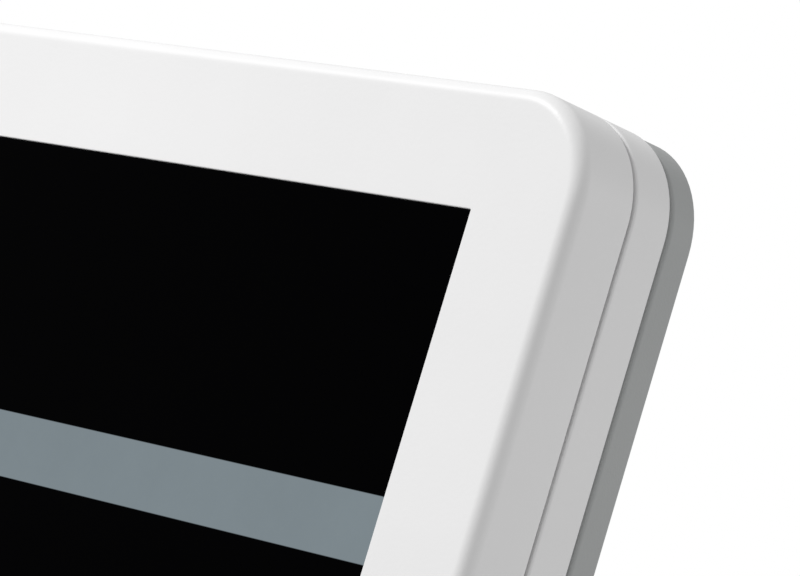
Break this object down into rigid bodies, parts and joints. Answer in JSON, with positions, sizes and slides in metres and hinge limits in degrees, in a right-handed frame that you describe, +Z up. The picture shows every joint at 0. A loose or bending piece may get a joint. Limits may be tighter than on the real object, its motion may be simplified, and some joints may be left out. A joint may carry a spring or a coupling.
{
  "type": "touchscreen kiosk",
  "caption": "Floor-standing information kiosk: a tilting touchscreen head with a hinged front frame, on a slim column and floor plate.",
  "frame": {"origin": "centre of the footprint, on the floor", "axes": "+Z up; the visitor stands on the -Y side; +X to the visitor's right"},
  "size_m": [0.5623, 0.4, 1.2063],
  "materials": {
    "white_powder": "fine orange-peel powder coat, satin white",
    "grey_powder": "fine textured powder coat, mid grey",
    "screen": "optically bonded touch glass over the lit panel, with a plain grey-blue bar shown",
    "zinc_steel": "zinc-plated sheet steel",
    "fastener": "plated screws and bolts",
    "pivot_steel": "turned steel",
    "brass": "plain friction washer",
    "lock_metal": "nickel-plated lock",
    "rubber": "matt black rubber",
    "seal_foam": "light grey foam seal",
    "black_plastic": "matt moulded plastic",
    "lead_jacket": "satin black cable jacket",
    "board": "green circuit board",
    "panel_body": "screen panel body",
    "pc_case": "dark computer case"
  },
  "bodies": {
    "stand": {"base_plate": "grey_powder", "floor_pads": "rubber", "column_shell": "white_powder", "column_flange": "zinc_steel", "flange_bolts": "fastener", "column_cover": "white_powder", "cover_screws": "fastener", "column_cap": "white_powder", "cap_grommet": "rubber", "power_inlet": "black_plastic", "inlet_pins": "fastener", "inlet_screws": "fastener", "switch_housing": "black_plastic", "power_supply": "zinc_steel", "supply_bracket": "zinc_steel", "mains_leads": "lead_jacket", "column_lead": "lead_jacket", "tilt_yoke": "grey_powder", "yoke_bolts": "fastener", "pivot_shaft": "pivot_steel", "friction_washers": "brass", "pivot_nuts": "fastener"},
    "rocker": {"switch_rocker": "black_plastic"},
    "head": {"head_bracket": "grey_powder", "bracket_screws": "fastener", "middle_frame": "white_powder", "door_seal": "seal_foam", "rear_cover": "grey_powder", "rear_screws": "fastener", "head_grommet": "rubber", "frame_hinge_leaves": "white_powder", "hinge_pins": "pivot_steel", "frame_hinge_screws": "fastener", "mini_pc": "pc_case", "pc_bracket": "zinc_steel", "speaker_left": "black_plastic", "speaker_right": "black_plastic", "fan_housing": "black_plastic", "lock_barrel": "lock_metal", "lock_nut": "fastener", "head_lead": "lead_jacket", "screen_harness": "lead_jacket"},
    "door": {"front_frame": "white_powder", "touch_glass": "screen", "panel_tape": "rubber", "lcd_panel": "panel_body", "lcd_chassis": "zinc_steel", "panel_rails": "zinc_steel", "driver_board": "board", "touch_controller": "board", "door_catch": "zinc_steel", "door_hinge_leaves": "white_powder", "door_hinge_screws": "fastener", "door_harness": "lead_jacket"},
    "lock": {"lock_plug": "lock_metal", "lock_cam": "zinc_steel"},
    "fan": {"fan_rotor": "black_plastic"}
  },
  "joints": [
    {"name": "head_tilt", "type": "hinge", "parent": "stand", "child": "head", "pos_m": [0, 0.04, 0.96], "axis": [1, 0, 0], "range_deg": [-22, 18]},
    {"name": "door_swing", "type": "hinge", "parent": "head", "child": "door", "pos_m": [-0.2813, -0.02059, 1.04004], "axis": [0, -0.3907, -0.9205], "range_deg": [0, 105]},
    {"name": "lock_turn", "type": "hinge", "parent": "head", "child": "lock", "pos_m": [0.234, -0.0541, 0.94562], "axis": [0, 0.9205, -0.3907], "range_deg": [0, 90]},
    {"name": "power_switch", "type": "hinge", "parent": "stand", "child": "rocker", "pos_m": [0.032, 0.079, 0.075], "axis": [1, 0, 0], "range_deg": [0, 18]},
    {"name": "fan_spin", "type": "hinge", "parent": "head", "child": "fan", "pos_m": [0.112, 0.0218, 1.02205], "axis": [0, 0.9205, -0.3907], "continuous": true}
  ]
}
